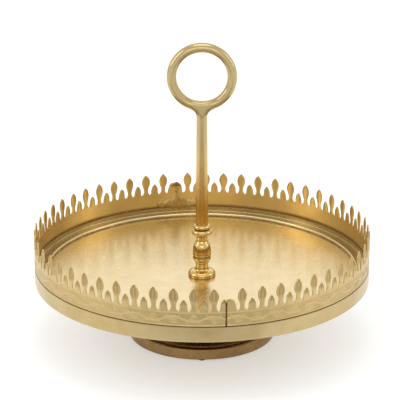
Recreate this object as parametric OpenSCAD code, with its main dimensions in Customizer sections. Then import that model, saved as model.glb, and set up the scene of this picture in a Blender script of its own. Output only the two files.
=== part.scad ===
// Round metal cake stand: a spun tray with a finial gallery round its rim,
// on a trumpet foot, carried by a ring handle that screws down on a turned baluster.
// Millimetres, +Z up, origin on the table under the middle of the foot, front = -Y.

/* [Tray] */
// Diameter over the turned-down skirt
tray_d = 304.8; // [300:0.1:310]
// Thickness of the spun sheet
sheet_t = 1.2; // [1:0.1:1.4]
// Height of the top face of the floor's flat middle above the table
floor_z = 56.5; // [54:0.5:64]
// Rise of the dished floor from its flat middle to its edge
dish_rise = 5.4; // [0:0.1:5.5]
// Rise from the floor's middle to the rim that carries the gallery
rim_rise = 12.6; // [12:0.1:14]
// Depth of the skirt below the rim
skirt_h = 14.1; // [13.5:0.1:16]
// Radius of the rolled bead round the floor's edge
bead_r = 1.3; // [1:0.1:1.6]
// Radius at the middle of that bead
bead_at_r = 141.9; // [140:0.1:143]

/* [Gallery] */
// Thickness of the cast strip
gallery_t = 1.6; // [1.2:0.1:2]
// Height of the plain band below the finials
band_h = 14.4; // [12:0.1:16]
// Height of a tall finial's tip above the tray's rim
tall_h = 34.6; // [32:0.1:38]
// Height of a short finial's tip above the tray's rim
short_h = 24.5; // [22:0.1:26]
// Tall finials on one half strip
tall_count = 27; // [27:1:27]
// Where the front seam lies round the rim, in degrees from +X
front_seam_at = -82.2; // [-90:0.1:-75]
// Where the back seam lies; the strips are cut by hand, so one is a little longer
back_seam_at = 99.2; // [97:0.1:101]
// Width of the open slit between the two strips at a seam
seam_gap = 1.6; // [1:0.1:2]
// Distance from a strip's first end to the middle of its first tall finial
lead_in = 13.0; // [12.6:0.1:13.4]
// Distance from the middle of its last tall finial to a strip's other end
run_out = 9.7; // [9.5:0.1:9.8]

/* [Handle] */
// Outside diameter of the finger ring
ring_d = 62.6; // [58:0.1:66]
// Diameter of the ring's round bar
ring_bar_d = 8.7; // [8:0.1:9.5]
// Height of the ring's centre above the tray floor
ring_rise = 188.4; // [180:0.1:195]
// Rod diameter at its foot
rod_foot_d = 11.5; // [10.5:0.1:12]
// Rod diameter under the ring
rod_head_d = 9.5; // [9:0.1:10]
// Half width of the web that blends the rod into the ring
web_half_w = 12; // [10:0.5:13]
// Thickness of that web
web_t = 6.4; // [5:0.1:8]

/* [Baluster] */
// Height of the turned baluster
baluster_h = 49.9; // [49:0.1:51]
// Diameter of its base flange
flange_d = 25; // [23:0.1:28]
// Widest diameter of the vase
vase_d = 17; // [16:0.1:18]
// Diameter of the neck above the vase
neck_d = 9.8; // [9.4:0.1:10.4]
// Diameter of the lower bead of the collar
collar_d = 18.7; // [18:0.1:19.5]
// Diameter of the upper bead of the collar
top_bead_d = 15.6; // [15:0.1:16]

/* [Foot] */
// Diameter at the bottom edge
foot_d = 133.4; // [126:0.1:140]
// Height of the upright band round the bottom edge
foot_band_h = 9.3; // [8:0.1:12]
// Radius where the trumpet springs from the band's ledge
trumpet_r = 60; // [56:0.5:61]
// Radius at the waist of the trumpet
waist_r = 28; // [25:0.5:32]
// Height of the waist above the table
waist_z = 38; // [34:0.5:42]
// Radius of the top flange under the tray
top_flange_r = 45; // [40:0.5:50]
// Wall of the casting
foot_wall = 2.6; // [2.2:0.1:3.2]
// Width of the flat land under the bottom edge
foot_land = 8; // [7.5:0.1:9]

/* [Fasteners] */
// Diameter of the threaded stud
stud_d = 6; // [6:1:6]
// Pitch of the stud's thread
thread_pitch = 1; // [1:0.25:1]
// Turns of thread engaged in the handle
thread_turns = 12.25; // [10:0.25:14]
// Width of the hex nut across its flats
nut_af = 10; // [10:1:10]
// Height of the hex nut
nut_h = 5; // [5:0.1:5.2]
// Outside diameter of the flat washer
washer_d = 18; // [12:0.5:18]
// Thickness of the flat washer
washer_t = 1.6; // [1.2:0.1:1.6]
// Diameter of one felt pad
pad_d = 7; // [6:0.5:7.5]
// Thickness of a felt pad
pad_t = 1; // [0.8:0.1:1.5]
// Felt pads under the foot
pad_count = 4; // [3:1:6]

/* [Hidden] */
$fn = 144;

gold = [0.83, 0.69, 0.42];
deep_gold = [0.72, 0.55, 0.27];
antique_gold = [0.50, 0.37, 0.22];
steel = [0.66, 0.66, 0.64];
felt = [0.12, 0.11, 0.10];

tray_r = tray_d / 2;
rim_z = floor_z + rim_rise;
skirt_z = rim_z - skirt_h;
floor_under_z = floor_z - sheet_t;

gap_a = seam_gap / tray_r * 180 / PI;
lead_a = lead_in / tray_r * 180 / PI;
run_out_a = run_out / tray_r * 180 / PI;
cut_clear = 1;
dish_steps = 12;

// Half widths of a tall finial, each as [half width, height above the rim]. The first point
// lies past the tip, so the strip's top edge cuts the tip off 0.7 mm wide.
tall_side = [[-0.7, tall_h + cut_clear], [1.3, 33.8], [2.4, 32.5], [3.25, 31], [3.85, 29],
             [4.05, 26.9], [3.8, 25], [3.15, 23], [2.5, 21.1], [2.1, 19.2], [2.1, 17.6],
             [2.55, 15.8], [3.5, band_h]];
// The same for a short finial
short_side = [[0.5, short_h - 0.3], [1.5, 23.3], [2.3, 21.9], [2.95, 20.2], [3.3, 18.2],
              [3.55, 16.2], [4.0, band_h]];

rod_foot_z = floor_z + baluster_h;
ring_z = floor_z + ring_rise;
ring_mid_r = (ring_d - ring_bar_d) / 2;
ring_under_z = ring_z - ring_d / 2;
bore_clear = 0.05;
bore_r = stud_d / 2 + bore_clear;
loose_hole_r = stud_d / 2 + 0.3;
thread_engaged = thread_turns * thread_pitch;
thread_spare = 2.5 * thread_pitch;

foot_top_z = floor_under_z;
top_plate_t = 3;
washer_z = foot_top_z - top_plate_t - washer_t;
spring_t = 1.6;
spring_z = washer_z - spring_t;
nut_z = spring_z - nut_h;
stud_z = nut_z - thread_spare;
stud_top_z = rod_foot_z + thread_engaged;

// Points on an arc of radius r round c, from angle a0 to a1 in n steps
function arc(c, r, a0, a1, n) = bow(c, r, r, a0, a1, n);
// The same on an ellipse with half axes rx and rz
function bow(c, rx, rz, a0, a1, n) =
    [for (i = [0:n]) let (a = a0 + (a1 - a0) * i / n) [c[0] + rx * cos(a), c[1] + rz * sin(a)]];
// An outline's points moved by [dx, dz], or mirrored about x = 0
function shifted(pts, dx, dz) = [for (p = pts) [p[0] + dx, p[1] + dz]];
function mirrored(pts) = [for (p = pts) [-p[0], p[1]]];
function backwards(pts) = [for (i = [len(pts) - 1:-1:0]) pts[i]];

// Carries children to the angle a round the rim, in the rim's own plane:
// x runs counter-clockwise along the rim, y runs up, and z runs outwards
module at_rim(a) {
    rotate([0, 0, a]) rotate([90, 0, 90]) children();
}

// One spun sheet: floor flat in its middle and gently dished outside it, rolled bead, ledge,
// and a rim that turns over into the skirt
module tray_pan() {
    dish_r = bead_at_r - 1;
    flat_r = top_flange_r + 1;
    bead_z = rim_z - 5.5;
    ledge_z = bead_z + 0.3;
    ledge_fillet = 0.8;
    skirt_in_r = tray_r - sheet_t;
    rim_in_r = tray_r - gallery_t - 0.2;
    dish = [for (i = [0:dish_steps]) let (u = i / dish_steps)
            [flat_r + (dish_r - flat_r) * u, floor_z + dish_rise * u * u]];
    top_side = concat(
        [[loose_hole_r, floor_z]], dish,
        arc([bead_at_r, bead_z], bead_r, 215, 20, 10),
        [[bead_at_r + 1.7, ledge_z]],
        arc([rim_in_r - ledge_fillet, ledge_z + ledge_fillet], ledge_fillet, -90, 0, 4),
        [[rim_in_r, rim_z], [tray_r - 0.5, rim_z], [tray_r, rim_z - 0.5], [tray_r, skirt_z + 0.3],
         [tray_r - 0.3, skirt_z]]);
    under_side = concat(
        [[skirt_in_r + 0.1, skirt_z], [skirt_in_r, skirt_z + 0.2],
         [skirt_in_r, ledge_z - sheet_t], [bead_at_r + 2.4, ledge_z - sheet_t]],
        arc([bead_at_r + 0.9, bead_z - 1.2], 0.7, 60, 180, 4),
        backwards(shifted(dish, 0, -sheet_t)),
        [[loose_hole_r, floor_under_z]]);
    color(gold) rotate_extrude() polygon(concat(top_side, under_side));
}

// Everything between two tall finials, each half_pitch from the short one in their middle
module between_talls(half_pitch) {
    half = concat(shifted(tall_side, -half_pitch, 0), backwards(mirrored(short_side)));
    outline = concat(half, [[0, short_h]], backwards(mirrored(half)));
    cut_strip() polygon(shifted(outline, 0, rim_z));
}

// A cutter through the strip's wall, from an outline in the rim's plane
module cut_strip() {
    translate([0, 0, tray_r - gallery_t - cut_clear])
        linear_extrude(gallery_t + 2 * cut_clear) children();
}

// Clears the air over the wide lug that begins a strip, up to the first tall finial
module over_first_lug() {
    lug_side = [[-8, short_h - 1.4], [0.9, short_h - 1.2], [2.4, short_h], [5.2, short_h - 0.5],
                [7, 21.2], [7.9, 17.6], [8.6, 15], [lead_in - 3.9, band_h]];
    tall_left = shifted(mirrored(tall_side), lead_in, 0);
    top = tall_h + cut_clear;
    outline = concat([[-8, top]], lug_side, backwards(tall_left));
    cut_strip() polygon(shifted(outline, 0, rim_z));
}

// Clears the air past the last tall finial, over the half finial that ends a strip
module over_last_half(half_pitch) {
    top = tall_h + cut_clear;
    outline = concat(tall_side, shifted(backwards(mirrored(short_side)), half_pitch, 0),
                     [[half_pitch, short_h], [half_pitch + 1.2, short_h - 1.6],
                      [half_pitch + 9, short_h - 1.6], [half_pitch + 9, top]]);
    cut_strip() polygon(shifted(outline, 0, rim_z));
}

// One strip of the gallery, counter-clockwise from the seam at angle a to the seam at b
module gallery_strip(a, b) {
    start = a + gap_a / 2;
    strip_a = b - a - gap_a;
    pitch_a = (strip_a - lead_a - run_out_a) / (tall_count - 1);
    half_pitch = pitch_a / 2 * tray_r * PI / 180;
    first_tall = start + lead_a;
    difference() {
        rotate([0, 0, start]) rotate_extrude(angle = strip_a)
            translate([tray_r - gallery_t, rim_z]) square([gallery_t, tall_h]);
        for (i = [0:tall_count - 2])
            at_rim(first_tall + (i + 0.5) * pitch_a) between_talls(half_pitch);
        at_rim(start) over_first_lug();
        at_rim(first_tall + (tall_count - 1) * pitch_a) over_last_half(half_pitch);
    }
}

module gallery_right() {
    color(gold) gallery_strip(front_seam_at, back_seam_at);
}

module gallery_left() {
    color(gold) gallery_strip(back_seam_at, front_seam_at + 360);
}

// Filler metal in the back seam, with its run-out inside the wall and its lump on top
module back_seam_braze() {
    in_r = tray_r - gallery_t;
    patch_a = 14;
    fill_a = gap_a;
    color(deep_gold) {
        rotate([0, 0, back_seam_at - patch_a / 2]) rotate_extrude(angle = patch_a)
            polygon([[in_r, rim_z], [in_r, rim_z + 9], [in_r - 0.7, rim_z + 7.5],
                     [in_r - 1.1, rim_z + 3], [in_r - 1.2, rim_z + 0.4], [in_r - 0.4, rim_z]]);
        rotate([0, 0, back_seam_at - fill_a / 2]) rotate_extrude(angle = fill_a)
            translate([in_r - 0.5, rim_z]) square([gallery_t + 0.5, short_h - 3]);
        at_rim(back_seam_at) translate([1, rim_z + short_h - 2, tray_r - gallery_t / 2])
            sphere(d = 5);
    }
}

// Solder in the front seam: a thin fill deep in the slit, and a drop over its top
module front_seam_solder() {
    fill_t = 0.6;
    color(deep_gold) {
        rotate([0, 0, front_seam_at - gap_a / 2]) rotate_extrude(angle = gap_a)
            translate([tray_r - gallery_t, rim_z]) square([fill_t, short_h - 2]);
        at_rim(front_seam_at) translate([0.8, rim_z + short_h - 2.2, tray_r - gallery_t / 2])
            sphere(d = 3.6);
    }
}

// Cast ring and rod in one, tapped from below for the stud
module ring_handle() {
    web_foot_z = ring_under_z - 7.6;
    web_head_z = ring_under_z + 2.4;
    web_side = bow([web_half_w, web_foot_z], web_half_w - rod_head_d / 2 + 0.4,
                   web_head_z - web_foot_z, 180, 90, 8);
    color(gold) difference() {
        union() {
            translate([0, 0, ring_z]) rotate([90, 0, 0]) rotate_extrude()
                translate([ring_mid_r, 0]) circle(d = ring_bar_d);
            translate([0, 0, rod_foot_z])
                cylinder(h = ring_under_z + 2 - rod_foot_z, d1 = rod_foot_d, d2 = rod_head_d);
            translate([0, 0, ring_under_z + 2]) sphere(d = rod_head_d);
            rotate([90, 0, 0]) linear_extrude(web_t, center = true)
                polygon(concat(web_side, backwards(mirrored(web_side))));
        }
        translate([0, 0, rod_foot_z - 1])
            cylinder(h = thread_engaged + thread_spare + 1, r = bore_r);
    }
}

// Turned sleeve between the tray and the rod, bored through for the stud
module baluster() {
    flange_r = flange_d / 2;
    vase_r = vase_d / 2;
    neck_r = neck_d / 2;
    collar_r = collar_d / 2;
    top_bead_r = top_bead_d / 2;
    foot_neck_r = 5.7;
    outline = concat(
        [[bore_r, 0], [flange_r - 0.3, 0], [flange_r, 0.3], [flange_r, 1.4]],
        bow([7.4, 1.6], flange_r - 7.4, 3.9, 8, 90, 7),
        bow([7.2, 8.6], 7.2 - foot_neck_r, 3, -90, -180, 5),
        arc([foot_neck_r - 0.2, 13.2], 0.95, -60, 60, 5),
        bow([6.4, 17.2], 1.8, 2.9, -75, 20, 6),
        [[vase_r - 0.9, 18.5]],
        bow([vase_r - 2.6, 20.6], 2.6, 1.9, -50, 30, 6),
        bow([neck_r + 0.7, 21.2], vase_r - neck_r - 0.9, 10.4, 12, 82, 8),
        [[neck_r, 34.2], [neck_r + 0.3, 36.4]],
        bow([neck_r + 2.2, 36.6], 1.9, 2.4, 180, 100, 4),
        bow([collar_r - 3, 42.2], 3, 2.8, -78, 78, 10),
        bow([top_bead_r - 2.4, 47.2], 2.4, 2.2, -80, 80, 8),
        [[rod_foot_d / 2, baluster_h], [bore_r, baluster_h]]);
    color(gold) translate([0, 0, floor_z]) rotate_extrude() polygon(outline);
}

// Stud that clamps handle, baluster, tray and foot together
module threaded_stud() {
    chamfer = 0.6;
    stud_r = stud_d / 2;
    color(steel) rotate_extrude() polygon([
        [0, stud_z], [stud_r - chamfer, stud_z], [stud_r, stud_z + chamfer],
        [stud_r, stud_top_z - chamfer], [stud_r - chamfer, stud_top_z], [0, stud_top_z]]);
}

// Flat washer under the foot's top plate
module flat_washer() {
    color(steel) translate([0, 0, washer_z]) difference() {
        cylinder(h = washer_t, d = washer_d);
        translate([0, 0, -1]) cylinder(h = washer_t + 2, r = loose_hole_r);
    }
}

// Split spring washer, shown pressed flat
module spring_washer() {
    spring_d = 11.8;
    split_w = 0.9;
    color(steel) translate([0, 0, spring_z]) difference() {
        cylinder(h = spring_t, d = spring_d);
        translate([0, 0, -1]) cylinder(h = spring_t + 2, r = stud_d / 2 + 0.15);
        rotate([0, 0, 40]) translate([0, -split_w / 2, -1]) cube([spring_d, split_w, spring_t + 2]);
    }
}

// Hex nut that draws the stud down
module clamp_nut() {
    corner_d = nut_af / cos(30);
    corner_cut = 0.7;
    color(steel) translate([0, 0, nut_z]) difference() {
        intersection() {
            cylinder(h = nut_h, d = corner_d, $fn = 6);
            rotate_extrude() polygon([
                [0, 0], [nut_af / 2 - 0.1, 0], [corner_d / 2, corner_cut],
                [corner_d / 2, nut_h - corner_cut], [nut_af / 2 - 0.1, nut_h], [0, nut_h]]);
        }
        translate([0, 0, -1]) cylinder(h = nut_h + 2, r = bore_r);
    }
}

// Hollow trumpet foot with an upright band round its bottom edge
module foot() {
    foot_r = foot_d / 2;
    band_top_r = foot_r - 0.9;
    band_z = pad_t + foot_band_h;
    spring_at_z = band_z + 1.4;
    head_z = foot_top_z - 2.3;
    land_r = foot_r - foot_land;
    hollow_waist_r = waist_r - foot_wall;
    hollow_top_z = foot_top_z - top_plate_t;
    outside = concat(
        [[foot_r - 0.5, pad_t], [foot_r, pad_t + 0.5]],
        arc([band_top_r - 0.9, band_z - 0.9], 0.9, 5, 85, 4),
        [[trumpet_r + 1.2, band_z - 0.2], [trumpet_r + 0.7, band_z - 0.2],
         [trumpet_r + 0.2, spring_at_z - 0.5]],
        bow([trumpet_r, waist_z], trumpet_r - waist_r, waist_z - spring_at_z, 270, 180, 12),
        bow([top_flange_r - 1, waist_z], top_flange_r - 1 - waist_r, head_z - waist_z,
            170, 90, 8),
        [[top_flange_r, head_z + 0.8], [top_flange_r, foot_top_z - 0.3],
         [top_flange_r - 0.3, foot_top_z], [loose_hole_r, foot_top_z]]);
    inside = concat(
        [[loose_hole_r, hollow_top_z], [hollow_waist_r - 2, hollow_top_z],
         [hollow_waist_r, hollow_top_z - 2], [hollow_waist_r, waist_z]],
        bow([trumpet_r, waist_z], trumpet_r - hollow_waist_r,
            waist_z - spring_at_z + foot_wall, 190, 265, 10),
        [[land_r - 0.6, spring_at_z - foot_wall], [land_r, pad_t + 2], [land_r, pad_t]]);
    color(antique_gold) rotate_extrude() polygon(concat(outside, inside));
}

// Felt pads stuck to the foot's land
module felt_pads() {
    color(felt) for (i = [0:pad_count - 1]) rotate([0, 0, i * 360 / pad_count])
        translate([(foot_d - foot_land) / 2, 0, 0]) cylinder(h = pad_t, d = pad_d);
}

tray_pan();
gallery_right();
gallery_left();
back_seam_braze();
front_seam_solder();
ring_handle();
baluster();
threaded_stud();
flat_washer();
spring_washer();
clamp_nut();
foot();
felt_pads();
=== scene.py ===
import math

import bmesh
import bpy
import numpy as np
from mathutils import Matrix, Vector


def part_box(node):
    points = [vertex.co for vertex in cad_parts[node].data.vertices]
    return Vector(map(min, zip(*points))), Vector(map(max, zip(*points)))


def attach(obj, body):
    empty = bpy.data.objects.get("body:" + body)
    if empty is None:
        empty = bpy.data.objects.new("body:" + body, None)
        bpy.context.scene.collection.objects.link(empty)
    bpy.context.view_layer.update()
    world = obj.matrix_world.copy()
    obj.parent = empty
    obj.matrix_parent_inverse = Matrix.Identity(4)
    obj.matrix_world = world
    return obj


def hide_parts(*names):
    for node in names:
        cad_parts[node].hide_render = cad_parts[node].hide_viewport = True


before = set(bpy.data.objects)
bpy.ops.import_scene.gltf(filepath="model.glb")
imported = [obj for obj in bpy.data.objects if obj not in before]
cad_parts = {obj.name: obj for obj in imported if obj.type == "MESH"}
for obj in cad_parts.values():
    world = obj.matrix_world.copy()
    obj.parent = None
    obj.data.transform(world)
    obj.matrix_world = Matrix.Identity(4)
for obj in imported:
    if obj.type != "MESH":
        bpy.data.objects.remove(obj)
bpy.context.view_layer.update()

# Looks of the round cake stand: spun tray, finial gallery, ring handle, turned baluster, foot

MM = 0.001

# ---------------------------------------------------------------- sizes, in millimetres

def box_mm(node):
    """Lowest and highest corner of a CAD node, in millimetres."""
    low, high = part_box(node)
    return low / MM, high / MM


TRAY_LOW, TRAY_HIGH = box_mm("tray_pan")
HANDLE_LOW, HANDLE_HIGH = box_mm("ring_handle")
BALUSTER_LOW, BALUSTER_HIGH = box_mm("baluster")
FOOT_HIGH = box_mm("foot")[1]
STUD_LOW, STUD_HIGH = box_mm("threaded_stud")
PAD_HIGH = box_mm("felt_pads")[1]

TRAY_R = TRAY_HIGH.x
RIM_Z = TRAY_HIGH.z
SKIRT_Z = TRAY_LOW.z
FLOOR_Z = BALUSTER_LOW.z
SHEET_T = 1.2
BEAD_AT_R = TRAY_R - 10.5
BEAD_R = 1.3
BEAD_Z = RIM_Z - 5.5
LEDGE_Z = BEAD_Z + 0.3
FLAT_R = 46.0
DISH_R = BEAD_AT_R - 1
DISH_RISE = 5.4

GALLERY_T = 1.6
BAND_H = 14.4
SHORT_H = 24.5
TALL_COUNT = 27
LEAD_IN = 13.0
RUN_OUT = 9.7
SEAM_GAP = 1.6
FRONT_SEAM = math.radians(-82.2)
BACK_SEAM = math.radians(99.2)
SCROLL_PERIOD = 35.0

RING_R = HANDLE_HIGH.x
RING_Z = HANDLE_HIGH.z - RING_R
RING_BAR_R = 4.35
ROD_FOOT_Z = HANDLE_LOW.z
ROD_FOOT_R = 5.75
ROD_HEAD_R = 4.75
STUD_R = STUD_HIGH.x
BORE_R = STUD_R + 0.05

FOOT_R = FOOT_HIGH.x
FOOT_TOP_Z = FOOT_HIGH.z
PAD_T = PAD_HIGH.z

# ---------------------------------------------------------------- outlines


def arc(centre, r, start, end, n):
    """Points on a circular arc, in degrees."""
    return bow(centre, r, r, start, end, n)


def bow(centre, rx, rz, start, end, n):
    """Points on an arc of an ellipse with half axes rx and rz, in degrees."""
    turn = np.radians(np.linspace(start, end, n + 1))
    return [(centre[0] + rx * math.cos(a), centre[1] + rz * math.sin(a)) for a in turn]


def line(start, end, n):
    """n points along a straight line, without its end."""
    share = np.arange(n)[:, None] / n
    return [tuple(p) for p in np.array(start) + share * (np.array(end) - np.array(start))]


def smooth_through(points, n):
    """n + 1 points on a smooth curve through the given ones."""
    p = np.array(points, float)
    p = np.vstack([2 * p[0] - p[1], p, 2 * p[-1] - p[-2]])
    spans = len(points) - 1
    found = []
    for t in np.linspace(0, spans, n + 1):
        i = min(int(t), spans - 1)
        u = t - i
        a, b, c, d = p[i:i + 4]
        found.append(0.5 * (2 * b + (c - a) * u + (2 * a - 5 * b + 4 * c - d) * u ** 2
                            + (3 * b - 3 * c + d - a) * u ** 3))
    return np.array(found)


def bump(d, w):
    """A rounded ridge: 1 where d is 0, falling to 0 where d is w or more."""
    return np.clip(1 - (np.asarray(d) / w) ** 2, 0, 1) ** 1.5


def ripple(x, y, wave, seed):
    """Gentle waves from -1 to 1 over a plane, about wave apart, for hand-worked metal."""
    draw = np.random.default_rng(seed)
    total = 0.0
    for _ in range(6):
        turn, phase, stretch = draw.uniform(0, 2 * math.pi, 3)
        k = 2 * math.pi / (wave * (0.7 + 0.15 * stretch))
        total = total + np.sin(k * (x * math.cos(turn) + y * math.sin(turn)) + phase)
    return total / 6


# ---------------------------------------------------------------- meshes


def paint(mesh, name, values):
    """A value at each point of a mesh, for its material to read."""
    mesh.attributes.new(name, "FLOAT", "POINT").data.foreach_set(
        "value", np.asarray(values, np.float32))


def solid(name, verts, faces, tarnish_and_shade=None):
    """A closed mesh piece from millimetres, its faces outwards, with a value of dark staining and
    painted shade per point.
    """
    verts = np.asarray(verts, float)
    mesh = bpy.data.meshes.new(name)
    mesh.from_pydata((verts * MM).tolist(), [], faces)
    mesh.update()
    if tarnish_and_shade is not None:
        paint(mesh, "tarnish_and_shade", tarnish_and_shade)
    work = bmesh.new()
    work.from_mesh(mesh)
    if work.calc_volume(signed=True) < 0:
        bmesh.ops.reverse_faces(work, faces=work.faces)
    work.to_mesh(mesh)
    work.free()
    piece = bpy.data.objects.new(name, mesh)
    bpy.context.scene.collection.objects.link(piece)
    return piece


def skin(name, loops, around, tarnish_and_shade=None):
    """A piece through a row of closed loops of points, joined round or capped at both ends."""
    loops = np.asarray(loops, float)
    rows, n = loops.shape[:2]
    faces = []
    for i in range(rows if around else rows - 1):
        here, there = i * n, (i + 1) % rows * n
        faces += [(here + j, there + j, there + (j + 1) % n, here + (j + 1) % n)
                  for j in range(n)]
    if not around:
        faces += [tuple(range(n))[::-1], tuple(range((rows - 1) * n, rows * n))]
    flat = None if tarnish_and_shade is None else np.asarray(tarnish_and_shade).reshape(-1)
    return solid(name, loops.reshape(-1, 3), faces, flat)


def lathe(name, outline, steps=256, worked=None, tarnish_and_shade=None):
    """A turned piece from a closed outline of (radius, height). worked may move its points by hand
    irregularities, and the last argument gives the dark staining and painted shade at a radius and
    height."""
    r, z = np.array(outline, float).T
    turn = np.linspace(0, 2 * math.pi, steps, endpoint=False)[:, None]
    r, z = np.broadcast_to(r, (steps, len(r))), np.broadcast_to(z, (steps, len(z)))
    stain_and_shade = tarnish_and_shade(r, z, turn) if tarnish_and_shade else np.zeros_like(r)
    if worked:
        r, z = worked(r, z, turn)
    loops = np.stack([r * np.cos(turn), r * np.sin(turn), z], axis=2)
    return skin(name, loops, True, stain_and_shade)


def finish_mesh(piece, material, crisp=35):
    """Smooth shading with edges sharper than crisp degrees kept, and its one material."""
    mesh = piece.data
    mesh.shade_smooth()
    mesh.set_sharp_from_angle(angle=math.radians(crisp))
    mesh.materials.clear()
    mesh.materials.append(material)
    return piece


def stands_for(piece, body, slot, *nodes):
    """The piece rides on its body and shows in place of its CAD nodes; slot is not used."""
    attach(piece, body)
    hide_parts(*nodes)
    return piece


# ---------------------------------------------------------------- materials


class Nodes:
    """Short names for building a material's node tree."""

    def __init__(self, name):
        self.material = bpy.data.materials.new(name)
        self.material.use_nodes = True
        self.tree = self.material.node_tree
        self.shader = self.tree.nodes["Principled BSDF"]
        self.place = self.add("ShaderNodeTexCoord").outputs["Object"]

    def add(self, kind, settings=None, **inputs):
        node = self.tree.nodes.new(kind)
        for key, value in (settings or {}).items():
            setattr(node, key, value)
        for key, value in inputs.items():
            self.put(node, key, value)
        return node

    def put(self, node, key, value):
        socket = node.inputs[int(key[1:]) if key[0] == "_" else key]
        if isinstance(value, bpy.types.NodeSocket):
            self.tree.links.new(value, socket)
        else:
            socket.default_value = value

    def stretched(self, scale, turn=(0, 0, 0)):
        """The object's coordinates, scaled along each axis."""
        node = self.add("ShaderNodeMapping", Vector=self.place, Scale=scale, Rotation=turn)
        return node.outputs["Vector"]

    def noise(self, where, scale, detail=4.0, rough=0.55, warp=0.0):
        node = self.add("ShaderNodeTexNoise", Vector=where, Scale=scale, Detail=detail,
                        Roughness=rough, Distortion=warp)
        return node.outputs["Fac"]

    def span(self, value, low, high, to_low=0.0, to_high=1.0):
        """value carried from low..high to to_low..to_high, and held there."""
        node = self.add("ShaderNodeMapRange", {"clamp": True})
        for i, v in enumerate((value, low, high, to_low, to_high)):
            self.put(node, f"_{i}", v)
        return node.outputs["Result"]

    def math(self, operation, a, b=0.0, clamp=False):
        node = self.add("ShaderNodeMath", {"operation": operation, "use_clamp": clamp})
        self.put(node, "_0", a)
        self.put(node, "_1", b)
        return node.outputs["Value"]

    def mix(self, share, a, b, blend="MIX"):
        node = self.add("ShaderNodeMix", {"data_type": "RGBA", "blend_type": blend})
        self.put(node, "_0", share)
        self.put(node, "_6", a)
        self.put(node, "_7", b)
        return node.outputs[2]

    def bumped(self, height, strength, distance_mm, under=None):
        node = self.add("ShaderNodeBump", Strength=strength, Distance=distance_mm * MM,
                        Height=height)
        if under is not None:
            self.put(node, "Normal", under)
        return node.outputs["Normal"]

    def attribute(self, name):
        return self.add("ShaderNodeAttribute", {"attribute_name": name}).outputs["Fac"]


def rgba(r, g, b):
    return (r, g, b, 1.0)


def gilt(name, colour, deep, rough, spread, grain_mm, grain, streak=None, scratches=0.0, rubbed_and_reflection_tone=None):
    """Gold-coloured metal: drifting tone, dark staining and painted shade in its recesses, satin that
    varies, fine grain.

    deep is the tone of its darker drifts and of its dark staining and painted shade, spread how far
    its roughness wanders, streak the stretch of a linished or spun grain along X, Y and Z, and the
    last argument the paler tone where the attribute of that name is 1: metal polished by handling on
    the tray and gallery, and on the handle the ring's tone above a painted reflection of the gold
    tray on the rod."""
    n = Nodes(name)
    clouds = n.noise(n.place, 38.0, 5.0, 0.6)
    fine = n.noise(n.place, 420.0, 3.0, 0.6)
    tone = n.mix(n.span(clouds, 0.38, 0.72), rgba(*colour), rgba(*deep))
    lighter = rgba(*[min(1.0, c * 1.12 + 0.02) for c in colour])
    tone = n.mix(n.span(fine, 0.55, 0.8, 0.0, 0.35), tone, lighter)
    if rubbed_and_reflection_tone:
        tone = n.mix(n.attribute("rubbed_and_reflection_tone"), tone, n.mix(n.span(clouds, 0.35, 0.75), rgba(*rubbed_and_reflection_tone),
                                                        rgba(*[c * 0.93 for c in rubbed_and_reflection_tone])))
    # Dark staining mixed with painted shade, read from the value painted on each piece.
    stain_and_shade = n.attribute("tarnish_and_shade")
    stain_and_shade_share = n.math("MULTIPLY", stain_and_shade, n.span(fine, 0.25, 0.7, 0.65, 1.1), clamp=True)
    dark = rgba(deep[0] * 0.32, deep[1] * 0.22, deep[2] * 0.12)
    n.put(n.shader, "Base Color", n.mix(stain_and_shade_share, tone, dark))
    wander = n.noise(n.place, 95.0, 6.0, 0.65, 0.4)
    gloss = n.span(wander, 0.3, 0.75, rough - spread, rough + spread)
    gloss = n.math("ADD", gloss, n.math("MULTIPLY", stain_and_shade_share, 0.3))
    height = n.noise(n.place, 1.0 / (grain_mm * MM), 4.0, 0.6)
    if streak:
        lines = n.noise(n.stretched(streak), 1.0, 3.0, 0.7)
        height = n.math("ADD", height, n.math("MULTIPLY", lines, 1.6))
        gloss = n.math("ADD", gloss, n.span(lines, 0.35, 0.7, -0.04, 0.06))
    if scratches:
        for turn in (0.5, 1.9, 2.8):
            hair = n.noise(n.stretched((900.0, 14.0, 60.0), (0.0, 0.0, turn)), 1.0, 2.0, 0.5)
            cut = n.span(hair, 0.66, 0.72, 0.0, scratches)
            height = n.math("SUBTRACT", height, cut)
            gloss = n.math("ADD", gloss, n.math("MULTIPLY", cut, 0.12))
    n.put(n.shader, "Roughness", gloss)
    n.put(n.shader, "Normal", n.bumped(height, grain, 0.12))
    n.shader.inputs["Metallic"].default_value = 1.0
    return n.material


def zinc():
    """Zinc-plated steel with a cool, slightly cloudy plating."""
    n = Nodes("zinc_plate")
    clouds = n.noise(n.place, 260.0, 5.0, 0.7)
    tone = n.mix(n.span(clouds, 0.35, 0.7), rgba(0.62, 0.61, 0.58), rgba(0.42, 0.42, 0.41))
    n.put(n.shader, "Base Color", tone)
    n.put(n.shader, "Roughness", n.span(clouds, 0.3, 0.7, 0.26, 0.44))
    n.put(n.shader, "Normal", n.bumped(n.noise(n.place, 2600.0, 3.0), 0.25, 0.05))
    n.shader.inputs["Metallic"].default_value = 1.0
    return n.material


def pressed_felt():
    """Dark pressed felt with tangled fibres."""
    n = Nodes("pressed_felt")
    fibres = n.noise(n.place, 2400.0, 6.0, 0.75, 1.2)
    tone = n.mix(n.span(fibres, 0.3, 0.75), rgba(0.012, 0.011, 0.010), rgba(0.060, 0.055, 0.050))
    n.put(n.shader, "Base Color", tone)
    n.shader.inputs["Roughness"].default_value = 0.95
    n.shader.inputs["Sheen Weight"].default_value = 0.4
    n.put(n.shader, "Normal", n.bumped(fibres, 0.8, 0.15))
    return n.material


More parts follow.
